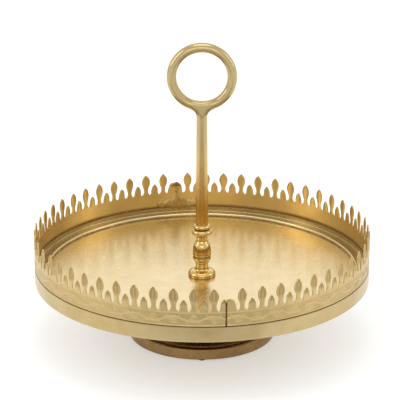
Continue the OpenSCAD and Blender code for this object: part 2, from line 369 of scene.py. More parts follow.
TRAY_GOLD = gilt("spun_tray_gold", (0.55, 0.43, 0.22), (0.49, 0.36, 0.16), 0.25, 0.06, 0.9, 0.08,
                 scratches=0.5, rubbed_and_reflection_tone=(0.72, 0.585, 0.33))
GALLERY_GOLD = gilt("cast_gallery_gold", (0.66, 0.475, 0.195), (0.57, 0.395, 0.14), 0.32, 0.06, 0.6,
                    0.30, rubbed_and_reflection_tone=(0.60, 0.455, 0.21))
# The handle's deeper gold low on the rod is a painted reflection of the gold tray; its ring takes the
# paler tone.
HANDLE_GOLD = gilt("cast_handle_gold", (0.82, 0.54, 0.16), (0.72, 0.44, 0.11), 0.22, 0.03,
                   0.7, 0.05, streak=(500.0, 500.0, 26.0), rubbed_and_reflection_tone=(0.51, 0.395, 0.19))
BALUSTER_GOLD = gilt("polished_baluster_gold", (0.66, 0.47, 0.18), (0.58, 0.39, 0.13), 0.14, 0.03,
                     0.8, 0.05, streak=(60.0, 60.0, 900.0))
FOOT_GOLD = gilt("dark_foot_gold", (0.31, 0.195, 0.08), (0.22, 0.13, 0.048), 0.27, 0.05, 0.8, 0.14,
                 streak=(50.0, 50.0, 700.0))
BRAZE = gilt("braze_fill", (0.56, 0.395, 0.15), (0.38, 0.245, 0.085), 0.42, 0.08, 0.8, 0.7)
ZINC = zinc()
FELT = pressed_felt()

# ---------------------------------------------------------------- tray


def tray_outline():
    """The spun sheet's section: dished floor, bead, ledge, rim, skirt, and back under."""
    skirt_in = TRAY_R - SHEET_T
    rim_in = TRAY_R - GALLERY_T - 0.2
    dish = [(FLAT_R + (DISH_R - FLAT_R) * u, FLOOR_Z + DISH_RISE * u * u)
            for u in np.linspace(0, 1, 40)]
    top = line((STUD_R + 0.3, FLOOR_Z), (FLAT_R, FLOOR_Z), 16) + dish
    top += arc((BEAD_AT_R, BEAD_Z), BEAD_R, 212, 24, 18)
    top += [(BEAD_AT_R + 1.45, LEDGE_Z + 0.05)]
    top += line((BEAD_AT_R + 1.9, LEDGE_Z), (rim_in - 0.8, LEDGE_Z), 6)
    top += arc((rim_in - 0.8, LEDGE_Z + 0.8), 0.8, -90, -4, 6)
    top += line((rim_in, LEDGE_Z + 1.4), (rim_in, RIM_Z - 0.4), 4)
    top += [(rim_in, RIM_Z), (TRAY_R - 0.75, RIM_Z)]
    top += arc((TRAY_R - 0.6, RIM_Z - 0.75), 0.6, 80, 0, 6)
    top += line((TRAY_R, RIM_Z - 1.2), (TRAY_R, SKIRT_Z + 0.6), 9)
    top += arc((TRAY_R - 0.5, SKIRT_Z + 0.5), 0.5, 0, -90, 5)
    under = arc((skirt_in + 0.4, SKIRT_Z + 0.4), 0.4, -90, -180, 4)
    under += line((skirt_in, SKIRT_Z + 1), (skirt_in, LEDGE_Z - SHEET_T - 0.3), 4)
    under += [(skirt_in, LEDGE_Z - SHEET_T), (BEAD_AT_R + 2.4, LEDGE_Z - SHEET_T)]
    under += arc((BEAD_AT_R + 0.9, BEAD_Z - 1.2), 0.7, 60, 180, 6)
    under += [(r, z - SHEET_T) for r, z in dish[::-2]]
    under += line((FLAT_R - 4, FLOOR_Z - SHEET_T), (STUD_R + 0.3, FLOOR_Z - SHEET_T), 6)
    under += [(STUD_R + 0.3, FLOOR_Z - SHEET_T)]
    return top + under


def spun_tray():
    """The tray, with hand-worked waves in its floor and an uneven bead."""

    def worked(r, z, turn):
        x, y = r * np.cos(turn), r * np.sin(turn)
        on_floor = np.clip((BEAD_AT_R - 4 - r) / 8, 0, 1) * np.clip((r - 15) / 20, 0, 1)
        sag = 0.09 * ripple(x, y, 60, 11) + 0.02 * ripple(x, y, 20, 12)
        at_bead = bump(np.hypot(r - BEAD_AT_R, z - BEAD_Z), 3.0)
        along = BEAD_AT_R * turn
        wobble = 0.20 * ripple(along, 0 * along, 30, 13) + 0.12 * ripple(along, 0 * along, 8, 14)
        skirt = (r > TRAY_R - 2) * (z < RIM_Z - 1)
        dent = 0.10 * ripple(along, z * 2, 46, 15)
        r_in = at_bead * wobble * 0.8 - skirt * np.abs(dent)
        return r + r_in, z + on_floor * sag + at_bead * wobble

    def tarnish_and_shade(r, z, turn):
        # Dark joints where the gallery stands on the rim; painted shade in the creases beside the
        # bead and, lighter, on the shelf under the gallery.
        joint = bump(np.hypot(r - TRAY_R, z - RIM_Z), 1.0)
        inner_joint = bump(np.hypot(r - (TRAY_R - GALLERY_T), z - RIM_Z), 1.1) * 0.9
        outer_crease = bump(np.hypot(r - (BEAD_AT_R + 1.7), z - LEDGE_Z), 1.2) * 0.35
        inner_crease = bump(np.hypot(r - DISH_R, z - (FLOOR_Z + DISH_RISE)), 1.5) * 0.8
        along = BEAD_AT_R * turn
        patchy = 0.8 + 0.35 * ripple(along, 0 * along, 16, 16)
        shelf = 0.12 * (r > BEAD_AT_R + 1.4) * (r < TRAY_R - GALLERY_T) * (z > BEAD_Z)
        return np.maximum.reduce([joint, inner_joint, outer_crease, inner_crease * patchy, shelf])

    outline = tray_outline()
    steps = 384
    tray = lathe("spun_tray", outline, steps, worked, tarnish_and_shade)
    r, z = np.array(outline).T
    inside = np.clip((BEAD_AT_R + 3 - r) / 4, 0, 1) * (z > FLOOR_Z - 0.2)
    paint(tray.data, "rubbed_and_reflection_tone", np.tile(inside, steps))
    finish_mesh(tray, TRAY_GOLD, 50)
    stands_for(tray, "stand", "tray_gold", "tray_pan")


# ---------------------------------------------------------------- gallery


def stroke(x, z, path, width, period):
    """How strongly each point of a band lies on a drawn stroke, given as (x, z, share of width),
    in a pattern that repeats along x."""
    path = np.array(path, float)
    x = np.mod(x, period)
    best = np.zeros_like(x)
    for shift in (-period, 0, period):
        for (ax, az, aw), (bx, bz, bw) in zip(path[:-1], path[1:]):
            ax, bx = ax + shift, bx + shift
            span = (bx - ax) ** 2 + (bz - az) ** 2 + 1e-9
            t = np.clip(((x - ax) * (bx - ax) + (z - az) * (bz - az)) / span, 0, 1)
            d = np.hypot(x - ax - t * (bx - ax), z - az - t * (bz - az))
            best = np.maximum(best, bump(d, width * (aw + t * (bw - aw)) + 1e-3))
    return best


def scroll_relief(x, z):
    """Height of the band's raised scroll from 0 to 1: two rails, a waving stem that throws a curl
    up and down in turn, a berry in each curl, and small leaves along the stem."""
    period = SCROLL_PERIOD
    middle, swing = 6.9, 2.3
    stem = [(u, middle + swing * math.sin(2 * math.pi * u / period), 1.0)
            for u in np.linspace(0, period, 36)]
    field = stroke(x, z, stem, 0.85, period)
    for side in (0, 1):
        way = 1 if side == 0 else -1
        cx, cz = period * (0.25 + 0.5 * side), middle - way * 1.3
        curl = [(cx + (3.7 - 2.1 * t) * math.cos(math.radians(way * (150 - 400 * t))),
                 cz + (3.3 - 1.9 * t) * math.sin(math.radians(way * (150 - 400 * t))),
                 1 - 0.45 * t) for t in np.linspace(0, 1, 26)]
        field = np.maximum(field, stroke(x, z, curl, 0.75, period))
        berry = np.hypot(np.mod(x - cx + period / 2, period) - period / 2, z - cz)
        field = np.maximum(field, 0.95 * bump(np.abs(berry - 0.75), 0.6))
        for lean, reach in ((-1, 2.6), (1, 2.6)):
            root_x = cx + lean * 3.9
            leaf = [(root_x + lean * reach * t, middle + way * (2.6 * math.sin(2.2 * t) + 0.4),
                     math.sin(math.pi * min(1, 0.15 + 0.85 * t))) for t in np.linspace(0, 1, 8)]
            field = np.maximum(field, 0.85 * stroke(x, z, leaf, 1.05, period))
    low_rail = bump(z - 0.85, 0.65)
    high_rail = bump(z - (BAND_H - 1.35), 0.75)
    lip = np.clip((z - (BAND_H - 0.7)) / 0.5, 0, 1) * 0.55
    return np.maximum.reduce([field * (z > 1.2) * (z < BAND_H - 2), low_rail, high_rail, lip])


def band_loops(start, length, seed):
    """Sections of a strip's band, from its first end on, and their dark staining and painted shade.
    """
    x = np.linspace(0, length, 1060)[:, None]
    z = np.concatenate([[0.0, 0.12], np.linspace(0.35, BAND_H - 0.35, 35), [BAND_H - 0.1, BAND_H]])
    relief = scroll_relief(x + 0 * z, z + 0 * x)
    cast = 0.88 + 0.16 * ripple(x, z * 2.5, 21, seed)
    edge = np.minimum(np.minimum(z, BAND_H - z) / 0.35, 1)
    outer = TRAY_R - 0.75 + 0.35 * edge + 0.40 * relief * cast
    outer = outer + 0.04 * ripple(x, z * 3, 4.5, seed + 1)
    inner_z = np.array([BAND_H - 0.15, BAND_H * 0.8, BAND_H * 0.6, BAND_H * 0.4, BAND_H * 0.2, 0.15])
    inner = TRAY_R - GALLERY_T + 0.05 + 0.05 * ripple(x, inner_z * 2, 14, seed + 2)
    r = np.hstack([outer, np.broadcast_to(inner, (len(x), len(inner_z)))])
    heights = np.hstack([np.broadcast_to(z, (len(x), len(z))),
                         np.broadcast_to(inner_z, (len(x), len(inner_z)))]) + RIM_Z
    turn = start + (SEAM_GAP / 2 + x) / TRAY_R
    # Painted shade in the hollows between the raised scroll; dark joints along the band's foot,
    # outside and inside.
    stain_and_shade_out = 0.34 * (1 - relief) ** 2 * (0.6 + 0.5 * ripple(x, z * 2, 13, seed + 3))
    stain_and_shade_out = np.maximum(stain_and_shade_out, bump(z + 0 * x, 0.5))
    stain_and_shade_in = np.broadcast_to(bump(inner_z, 0.8), (len(x), len(inner_z)))
    stain_and_shade = np.clip(np.hstack([stain_and_shade_out, stain_and_shade_in]), 0, 1)
    return np.stack([r * np.cos(turn), r * np.sin(turn), heights], axis=2), stain_and_shade


TALL_SIDE = [(-1.2, 3.3), (0, 3.5), (0.7, 3.0), (1.6, 2.5), (3.2, 2.1), (4.8, 2.1), (6.7, 2.5),
             (8.6, 3.15), (10.6, 3.8), (12.5, 4.05), (14.6, 3.85), (16.6, 3.25), (18.1, 2.4),
             (19.2, 1.5), (19.9, 0.75), (20.2, 0.2)]
SHORT_SIDE = [(-1.2, 3.9), (0, 4.0), (0.8, 3.7), (1.9, 3.55), (3.9, 3.3), (5.9, 2.95), (7.6, 2.3),
              (9.0, 1.45), (9.8, 0.7), (10.1, 0.2)]
LUG_SIDE = [(-1.2, 6.0), (0, 6.0), (0.8, 5.5), (3.2, 4.9), (6.0, 4.2), (8.0, 3.5), (9.2, 2.6),
            (9.9, 1.4), (10.1, 0.5)]
LUG_AT = 3.0
ACROSS = np.array([-1, -0.96, -0.86, -0.74, -0.6, -0.42, -0.24, -0.1, 0,
                   0.1, 0.24, 0.42, 0.6, 0.74, 0.86, 0.96, 1])
ACROSS_BACK = np.array([0.9, 0.5, 0, -0.5, -0.9])


def leaf(name, side, rows, cupped, cut_left=-9.0, cut_right=9.0):
    """One finial standing on the band's top: outline from its half widths up its height, with a
    raised border and midrib on its outer face. Its own x runs along the rim, -y faces out."""
    outline = smooth_through(side, rows)
    loops, stains_and_shade = [], []
    for height, half in outline:
        half = max(half, 0.1)
        leafy = np.clip((height - cupped) / 3, 0, 1) * np.clip(half / 1.2, 0, 1)
        ridge = np.maximum(bump(np.abs(ACROSS) - 0.82, 0.2), 0.8 * bump(ACROSS, 0.19))
        sunk = leafy * 0.62 * (1 - ridge) + 0.34 * np.abs(ACROSS) ** 9
        front_y = 0.12 + sunk
        back_y = GALLERY_T - 0.12 - 0.28 * np.abs(ACROSS_BACK) ** 4
        x = np.concatenate([ACROSS, ACROSS_BACK]) * half
        y = np.concatenate([front_y, back_y])
        x = np.clip(x, cut_left, cut_right)
        loops.append(np.stack([x, y, np.full_like(x, height)], axis=1))
        # Painted shade in the sunk face between the leaf's border and midrib.
        stains_and_shade.append(np.concatenate([leafy * 0.42 * (1 - ridge), 0 * back_y]))
    return skin(name, loops, False, stains_and_shade)


def finial_tree():
    """Geometry Nodes that set leaves in a row round the rim, tall and short in turn."""
    tree = bpy.data.node_groups.new("finial_row", "GeometryNodeTree")
    sockets = {}

    def takes(name, kind):
        sockets[name] = tree.interface.new_socket(name, in_out="INPUT", socket_type=kind)

    takes("Geometry", "NodeSocketGeometry")
    takes("Tall leaf", "NodeSocketObject")
    takes("Short leaf", "NodeSocketObject")
    takes("Tall count", "NodeSocketInt")
    takes("First angle", "NodeSocketFloat")
    takes("Pitch angle", "NodeSocketFloat")
    takes("Rim radius", "NodeSocketFloat")
    takes("Band top", "NodeSocketFloat")
    takes("Lean", "NodeSocketFloat")
    takes("Seed", "NodeSocketInt")
    takes("Metal", "NodeSocketMaterial")
    tree.interface.new_socket("Geometry", in_out="OUTPUT", socket_type="NodeSocketGeometry")
    given = tree.nodes.new("NodeGroupInput")
    link = tree.links.new

    def maths(operation, *values):
        node = tree.nodes.new("ShaderNodeMath")
        node.operation = operation
        for socket, value in zip(node.inputs, values):
            if isinstance(value, bpy.types.NodeSocket):
                link(value, socket)
            else:
                socket.default_value = value
        return node.outputs[0]

    def row(leaf_name, count, shift, seed_step):
        """Leaves at equal angles, each leaning and stretched a little on its own."""
        index = tree.nodes.new("GeometryNodeInputIndex").outputs[0]
        steps = maths("ADD", index, shift)
        angle = maths("MULTIPLY_ADD", steps, given.outputs["Pitch angle"],
                      given.outputs["First angle"])
        spot = tree.nodes.new("ShaderNodeCombineXYZ")
        link(maths("MULTIPLY", maths("COSINE", angle), given.outputs["Rim radius"]), spot.inputs[0])
        link(maths("MULTIPLY", maths("SINE", angle), given.outputs["Rim radius"]), spot.inputs[1])
        link(given.outputs["Band top"], spot.inputs[2])
        points = tree.nodes.new("GeometryNodePoints")
        link(count, points.inputs["Count"])
        link(spot.outputs[0], points.inputs["Position"])
        seed = maths("ADD", given.outputs["Seed"], seed_step)
        tilts = []
        for k in range(2):
            draw = tree.nodes.new("FunctionNodeRandomValue")
            draw.data_type = "FLOAT"
            link(maths("MULTIPLY", given.outputs["Lean"], -1.0), draw.inputs[2])
            link(given.outputs["Lean"], draw.inputs[3])
            link(maths("ADD", seed, float(k)), draw.inputs["Seed"])
            tilts.append(draw.outputs[1])
        euler = tree.nodes.new("ShaderNodeCombineXYZ")
        link(tilts[0], euler.inputs[0])
        link(tilts[1], euler.inputs[1])
        link(maths("ADD", angle, math.pi / 2), euler.inputs[2])
        turned = tree.nodes.new("FunctionNodeEulerToRotation")
        link(euler.outputs[0], turned.inputs[0])
        stretch = tree.nodes.new("FunctionNodeRandomValue")
        stretch.data_type = "FLOAT_VECTOR"
        stretch.inputs[0].default_value = (0.95, 0.97, 0.965)
        stretch.inputs[1].default_value = (1.03, 1.0, 1.0)
        link(maths("ADD", seed, 2.0), stretch.inputs["Seed"])
        shape = tree.nodes.new("GeometryNodeObjectInfo")
        link(given.outputs[leaf_name], shape.inputs["Object"])
        place = tree.nodes.new("GeometryNodeInstanceOnPoints")
        link(points.outputs[0], place.inputs["Points"])
        link(shape.outputs["Geometry"], place.inputs["Instance"])
        link(turned.outputs[0], place.inputs["Rotation"])
        link(stretch.outputs[0], place.inputs["Scale"])
        return place.outputs[0]

    talls = row("Tall leaf", given.outputs["Tall count"], 0.0, 0.0)
    shorts = row("Short leaf", maths("SUBTRACT", given.outputs["Tall count"], 1.0), 0.5, 10.0)
    both = tree.nodes.new("GeometryNodeJoinGeometry")
    link(talls, both.inputs[0])
    link(shorts, both.inputs[0])
    real = tree.nodes.new("GeometryNodeRealizeInstances")
    link(both.outputs[0], real.inputs[0])
    painted = tree.nodes.new("GeometryNodeSetMaterial")
    link(real.outputs[0], painted.inputs["Geometry"])
    link(given.outputs["Metal"], painted.inputs["Material"])
    result = tree.nodes.new("NodeGroupOutput")
    link(painted.outputs[0], result.inputs[0])
    return tree, {name: socket.identifier for name, socket in sockets.items()}


def grown(name, tree, sockets, values):
    """The plain mesh object that a Geometry Nodes tree makes from these values."""
    seed_mesh = bpy.data.meshes.new(name + "_start")
    maker = bpy.data.objects.new(name, seed_mesh)
    bpy.context.scene.collection.objects.link(maker)
    modifier = maker.modifiers.new("make", "NODES")
    modifier.node_group = tree
    for key, value in values.items():
        modifier[sockets[key]] = value
    evaluated = maker.evaluated_get(bpy.context.evaluated_depsgraph_get())
    mesh = bpy.data.meshes.new_from_object(evaluated)
    maker.modifiers.remove(modifier)
    maker.data = mesh
    bpy.data.meshes.remove(seed_mesh)
    return maker


def joined(name, first, *others):
    """One piece from several."""
    work = bmesh.new()
    for piece in (first, *others):
        work.from_mesh(piece.data)
    work.to_mesh(first.data)
    work.free()
    for piece in others:
        bpy.data.objects.remove(piece)
    first.name = name
    return first


def set_at_rim(piece, start, x):
    """Moves a leaf from its own place to x along the strip that starts at angle start."""
    angle = start + (SEAM_GAP / 2 + x) / TRAY_R
    co = np.array([v.co for v in piece.data.vertices]) / MM
    along, inwards, up = co.T
    r = TRAY_R - inwards
    turn = angle + along / TRAY_R
    moved = np.stack([r * np.cos(turn), r * np.sin(turn), RIM_Z + BAND_H + up], axis=1)
    piece.data.vertices.foreach_set("co", (moved * MM).astype(np.float32).ravel())
    piece.data.update()
    return piece


def gallery_strip(name, node, start, end, tree, sockets, tall, short, seed):
    """One strip: its relief band, its rows of leaves, the lug that begins it and the half leaf
    that ends it."""
    length = (end - start) * TRAY_R - SEAM_GAP
    loops, stain_and_shade = band_loops(start, length, seed)
    band = skin(name + "_band", loops, False, stain_and_shade)
    first = start + (SEAM_GAP / 2 + LEAD_IN) / TRAY_R
    pitch = (length - LEAD_IN - RUN_OUT) / (TALL_COUNT - 1)
    leaves = grown(name, tree, sockets, {
        "Tall leaf": tall, "Short leaf": short, "Tall count": TALL_COUNT,
        "First angle": first, "Pitch angle": pitch / TRAY_R, "Rim radius": TRAY_R * MM,
        "Band top": (RIM_Z + BAND_H) * MM, "Lean": math.radians(1.1), "Seed": seed,
        "Metal": GALLERY_GOLD})
    lug = set_at_rim(leaf(name + "_lug", LUG_SIDE, 16, 30, cut_left=-LUG_AT), start, LUG_AT)
    half_at = length - RUN_OUT + pitch / 2
    half = set_at_rim(leaf(name + "_half", SHORT_SIDE, 16, 4, cut_right=length - half_at), start,
                      half_at)
    strip = joined(name, leaves, band, lug, half)
    out = [math.hypot(v.co.x, v.co.y) / MM - TRAY_R + GALLERY_T / 2 for v in strip.data.vertices]
    paint(strip.data, "rubbed_and_reflection_tone", np.clip(np.array(out) / 0.5 + 0.5, 0, 1))
    finish_mesh(strip, GALLERY_GOLD, 55)
    stands_for(strip, "stand", "gallery_gold", node)
    return strip


def gallery():
    tree, sockets = finial_tree()
    tall = leaf("tall_leaf", TALL_SIDE, 30, 6.4)
    short = leaf("short_leaf", SHORT_SIDE, 16, 3.0)
    gallery_strip("gallery_strip_right", "gallery_right", FRONT_SEAM, BACK_SEAM, tree, sockets,
                  tall, short, 21)
    gallery_strip("gallery_strip_left", "gallery_left", BACK_SEAM, FRONT_SEAM + 2 * math.pi, tree,
                  sockets, tall, short, 41)
    for piece in (tall, short):
        bpy.data.objects.remove(piece)
    bpy.data.node_groups.remove(tree)


# ---------------------------------------------------------------- handle


RING_HALF_T = 4.9


def handle_distance(p):
    """Distance from points to the cast ring and rod, with a fillet where they meet."""
    x, y, z = p.T
    ring = np.hypot(np.hypot(x, z - RING_Z) - (RING_R - RING_BAR_R),
                    y * RING_BAR_R / RING_HALF_T) - RING_BAR_R
    height = np.clip((z - ROD_FOOT_Z) / (RING_Z - RING_R - ROD_FOOT_Z), 0, 1.2)
    side = np.hypot(x, y) - (ROD_FOOT_R + (ROD_HEAD_R - ROD_FOOT_R) * height)
    past_top = z - (RING_Z - RING_R + RING_BAR_R)
    rod = np.maximum(side, past_top)
    blend = 7.0
    share = np.clip(0.5 + 0.5 * (ring - rod) / blend, 0, 1)
    both = ring + (rod - ring) * share - blend * share * (1 - share)
    both = np.maximum(both, np.abs(y) - RING_HALF_T)
    cast = 0.04 * ripple(x + y, z, 17, 31) + 0.015 * ripple(x - y, z, 7, 32)
    return both + cast


def pulled_to(distance, p, steps=5):
    """Points moved on to the surface where distance is 0."""
    h = 0.02
    for _ in range(steps):
        f = distance(p)
        slope = np.stack([(distance(p + h * e) - distance(p - h * e)) / (2 * h)
                          for e in np.eye(3)], axis=1)
        p = p - slope * (f / np.maximum((slope ** 2).sum(1), 1e-6))[:, None]
    return p


def cast_handle():
    """Ring and rod in one casting, flat at its foot with a blind bore."""
    bpy.ops.mesh.primitive_torus_add(
        major_segments=160, minor_segments=40, major_radius=(RING_R - RING_BAR_R) * MM,
        minor_radius=RING_BAR_R * MM, location=(0, 0, RING_Z * MM), rotation=(math.pi / 2, 0, 0))
    start = bpy.context.object
    start.data.transform(start.matrix_world)
    start.matrix_world.identity()
    deep = 4.0
    rod_top = RING_Z - RING_R + RING_BAR_R
    rod_len = rod_top - ROD_FOOT_Z + deep
    bpy.ops.mesh.primitive_cone_add(
        vertices=64, radius1=ROD_FOOT_R * MM, radius2=ROD_HEAD_R * MM, depth=rod_len * MM,
        location=(0, 0, (rod_top - rod_len / 2) * MM))
    rod = bpy.context.object
    rod.data.transform(rod.matrix_world)
    rod.matrix_world.identity()
    handle = joined("cast_handle", start, rod)
    remesh = handle.modifiers.new("even", "REMESH")
    remesh.mode = "VOXEL"
    remesh.voxel_size = 0.62 * MM
    evaluated = handle.evaluated_get(bpy.context.evaluated_depsgraph_get())
    mesh = bpy.data.meshes.new_from_object(evaluated)
    handle.modifiers.remove(remesh)
    handle.data = mesh
    co = np.array([v.co for v in mesh.vertices]) / MM
    body = co[:, 2] > ROD_FOOT_Z - deep + 1.5
    co[body] = pulled_to(handle_distance, co[body])
    mesh.vertices.foreach_set("co", (co * MM).astype(np.float32).ravel())
    mesh.update()
    work = bmesh.new()
    work.from_mesh(mesh)
    whole = work.verts[:] + work.edges[:] + work.faces[:]
    edge_r = 0.5
    cut = bmesh.ops.bisect_plane(work, geom=whole, dist=1e-6,
                                 plane_co=(0, 0, (ROD_FOOT_Z + edge_r) * MM), plane_no=(0, 0, 1),
                                 clear_inner=True)
    rim = sorted((g for g in cut["geom_cut"] if isinstance(g, bmesh.types.BMVert)),
                 key=lambda v: math.atan2(v.co.y, v.co.x))
    rounded = [(1 - edge_r * (1 - math.cos(a)) / ROD_FOOT_R, edge_r * (1 - math.sin(a)))
               for a in (0.5, 1.0, math.pi / 2)]
    last = rim
    turns = [math.atan2(v.co.y, v.co.x) for v in rim]

    def next_ring(radius, z):
        nonlocal last
        new = [work.verts.new((radius * math.cos(a) * MM, radius * math.sin(a) * MM, z * MM))
               for a in turns]
        for i in range(len(new)):
            k = (i + 1) % len(new)
            work.faces.new((last[i], last[k], new[k], new[i]))
        last = new

    for share, lift in rounded:
        next_ring((ROD_FOOT_R - 0.02) * share, ROD_FOOT_Z + lift)
    for radius, z in ((BORE_R + 0.5, 0), (BORE_R, 0.5), (BORE_R, 7), (BORE_R, 14.75)):
        next_ring(radius, ROD_FOOT_Z + z)
    work.faces.new(last)
    bmesh.ops.recalc_face_normals(work, faces=work.faces)
    if work.calc_volume(signed=True) < 0:
        bmesh.ops.reverse_faces(work, faces=work.faces)
    work.to_mesh(mesh)
    work.free()
    up = np.array([v.co.z for v in mesh.vertices]) / MM
    # Painted reflection: deeper gold low on the rod, where it faces the gold tray, passing to the
    # paler ring tone above.
    reflection_tone_from, reflection_tone_over = 10, 75
    paint(mesh, "rubbed_and_reflection_tone", np.clip((up - ROD_FOOT_Z - reflection_tone_from) / reflection_tone_over, 0, 1))
    finish_mesh(handle, HANDLE_GOLD, 50)
    stands_for(handle, "handle", "handle_gold", "ring_handle")
    return handle


# ---------------------------------------------------------------- baluster and foot


def turned_baluster():
    """The polished sleeve: flange, neck, fine bead, cup, ring, vase, neck and two collar beads."""
    height = BALUSTER_HIGH.z - BALUSTER_LOW.z
    flange_r = BALUSTER_HIGH.x
    vase_r, neck_r, foot_neck_r = 8.5, 4.9, 5.7
    collar_r, top_bead_r = 9.35, 7.8
    outline = [(BORE_R, 0)] + line((flange_r - 3, 0), (flange_r - 0.3, 0), 2)
    outline += arc((flange_r - 0.3, 0.3), 0.3, -90, 0, 4)
    outline += bow((7.4, 1.6), flange_r - 7.4, 3.9, 4, 90, 24)
    outline += bow((7.2, 8.6), 7.2 - foot_neck_r, 3, -96, -180, 12)
    outline += line((foot_neck_r, 9.4), (foot_neck_r, 12.2), 3)
    outline += arc((foot_neck_r - 0.2, 13.2), 0.95, -65, 60, 10)
    outline += bow((6.4, 17.2), 1.8, 2.9, -75, 35, 16)
    outline += arc((vase_r - 0.75, 18.75), 0.35, 250, 130, 6)
    outline += bow((vase_r - 2.6, 20.6), 2.6, 1.9, -45, 20, 12)
    outline += bow((neck_r + 0.7, 21.2), vase_r - neck_r - 0.75, 10.6, 8, 80, 24)
    outline += [tuple(p) for p in smooth_through(
        [(neck_r + 0.75, 32.4), (neck_r, 34.2), (neck_r + 0.3, 36.4)], 8)]
    outline += bow((neck_r + 2.2, 36.6), 1.85, 2.5, 180, 100, 8)
    outline += bow((collar_r - 3, 42.2), 3, 2.8, -80, 76, 24)
    outline += bow((top_bead_r - 2.4, 47.2), 2.4, 2.2, -76, 82, 18)
    outline += [(ROD_FOOT_R - 0.1, height), (BORE_R, height), (BORE_R, height * 0.5)]
    outline = [(r, z + FLOOR_Z) for r, z in outline]

    def tarnish_and_shade(r, z, turn):
        # Painted shade in the grooves between the turned beads, and dark joints at its foot and top.
        at = z - FLOOR_Z
        lines = [bump(at - h, w) for h, w in ((0.1, 0.4), (12.2, 0.7), (18.7, 0.6), (39.2, 0.8),
                                              (45.0, 0.7), (height, 0.35))]
        return 0.7 * np.maximum.reduce(lines)

    baluster = lathe("turned_baluster", outline, 96, None, tarnish_and_shade)
    finish_mesh(baluster, BALUSTER_GOLD, 38)
    stands_for(baluster, "column", "baluster_gold", "baluster")


def trumpet_foot():
    """The turned foot: upright band, ledge, hollow trumpet and the flange under the tray."""
    wall, land, trumpet_r, waist_r, waist_z, flange_r = 2.6, 8.0, 60.0, 28.0, 38.0, 45.0
    band_top_r = FOOT_R - 0.9
    band_z = PAD_T + 9.3
    spring_z = band_z + 1.4
    head_z = FOOT_TOP_Z - 2.3
    hollow_r = waist_r - wall
    hollow_z = FOOT_TOP_Z - 3
    outline = arc((FOOT_R - 0.6, PAD_T + 0.6), 0.6, -90, 0, 6)
    outline += line((FOOT_R - 0.05, PAD_T + 1.2), (band_top_r + 0.05, band_z - 1.4), 6)
    outline += arc((band_top_r - 1.0, band_z - 1.0), 1.0, 0, 88, 8)
    outline += arc((trumpet_r + 1.4, band_z + 0.3), 0.55, -60, -150, 6)
    outline += [(trumpet_r + 0.6, spring_z - 0.3)]
    outline += bow((trumpet_r, waist_z), trumpet_r - waist_r, waist_z - spring_z, 269, 180, 40)
    outline += bow((flange_r - 1, waist_z), flange_r - 1 - waist_r, head_z - waist_z, 174, 92, 20)
    outline += arc((flange_r - 0.8, head_z + 0.8), 0.8, -80, 0, 5)
    outline += arc((flange_r - 0.4, FOOT_TOP_Z - 0.4), 0.4, 0, 90, 4)
    outline += [(STUD_R + 0.3, FOOT_TOP_Z), (STUD_R + 0.3, hollow_z)]
    outline += line((10, hollow_z), (hollow_r - 2, hollow_z), 3)
    outline += arc((hollow_r - 2, hollow_z - 2), 2, 88, 0, 6)
    outline += line((hollow_r, hollow_z - 4), (hollow_r, waist_z + 1), 3)
    outline += bow((trumpet_r, waist_z), trumpet_r - hollow_r, waist_z - spring_z + wall,
                   181, 264, 24)
    outline += [(FOOT_R - land - 0.4, spring_z - wall), (FOOT_R - land, PAD_T + 2),
                (FOOT_R - land, PAD_T + 0.3), (FOOT_R - land + 0.3, PAD_T)]

    def worked(r, z, turn):
        cast = 0.08 * ripple(r * np.cos(turn), r * np.sin(turn), 9, 51)
        return r, z + cast * (8 < r) * (r < FOOT_R - land + 0.1) * (z < band_z - 3)

    def tarnish_and_shade(r, z, turn):
        # Painted shade in the groove at the top of the band and over the underside.
        ledge = bump(np.hypot(r - (trumpet_r + 1.3), z - band_z), 2.6)
        under = (z < PAD_T + 0.4) * 0.25
        return np.maximum(ledge, under)

    foot = lathe("trumpet_foot", outline, 256, worked, tarnish_and_shade)
    finish_mesh(foot, FOOT_GOLD, 40)
    stands_for(foot, "stand", "foot_gold", "foot")


# ---------------------------------------------------------------- braze, solder and fasteners


def lumpy(name, blobs, voxel, seed, burnt):
    """A run of filler metal from overlapping balls, each (x, y, z, rx, ry, rz), melted together.
    burnt gives its staining at a height above the rim."""
    work = bmesh.new()
    for x, y, z, rx, ry, rz in blobs:
        ball = bmesh.ops.create_icosphere(work, subdivisions=3, radius=1.0)
        for v in ball["verts"]:
            v.co = ((x + v.co.x * rx) * MM, (y + v.co.y * ry) * MM, (z + v.co.z * rz) * MM)
    mesh = bpy.data.meshes.new(name)
    work.to_mesh(mesh)
    work.free()
    piece = bpy.data.objects.new(name, mesh)
    bpy.context.scene.collection.objects.link(piece)
    melt = piece.modifiers.new("melt", "REMESH")
    melt.mode = "VOXEL"
    melt.voxel_size = voxel * MM
    smooth = piece.modifiers.new("smooth", "SMOOTH")
    smooth.factor, smooth.iterations = 0.6, 6
    evaluated = piece.evaluated_get(bpy.context.evaluated_depsgraph_get())
    final = bpy.data.meshes.new_from_object(evaluated)
    piece.modifiers.clear()
    piece.data = final
    bpy.data.meshes.remove(mesh)
    co = np.array([v.co for v in final.vertices]) / MM
    normals = np.array([v.normal for v in final.vertices])
    rough = 0.22 * ripple(co[:, 0] + co[:, 1], co[:, 2], 2.6, seed) \
        + 0.10 * ripple(co[:, 0] - co[:, 2], co[:, 1], 1.1, seed + 1)
    final.vertices.foreach_set(
        "co", ((co + normals * rough[:, None]) * MM).astype(np.float32).ravel())
    final.update()
    specks = np.clip(2 * ripple(co[:, 0], co[:, 2], 5.0, seed + 2) - 0.7, 0, 1)
    paint(final, "tarnish_and_shade", np.clip(burnt(co[:, 2] - RIM_Z) + 0.4 * specks, 0, 1))
    return piece


def on_rim(angle, x, r_in, z):
    """A point x along the rim from an angle, r_in inside the tray's radius, z above the rim."""
    turn = angle + x / TRAY_R
    r = TRAY_R - r_in
    return r * math.cos(turn), r * math.sin(turn), RIM_Z + z


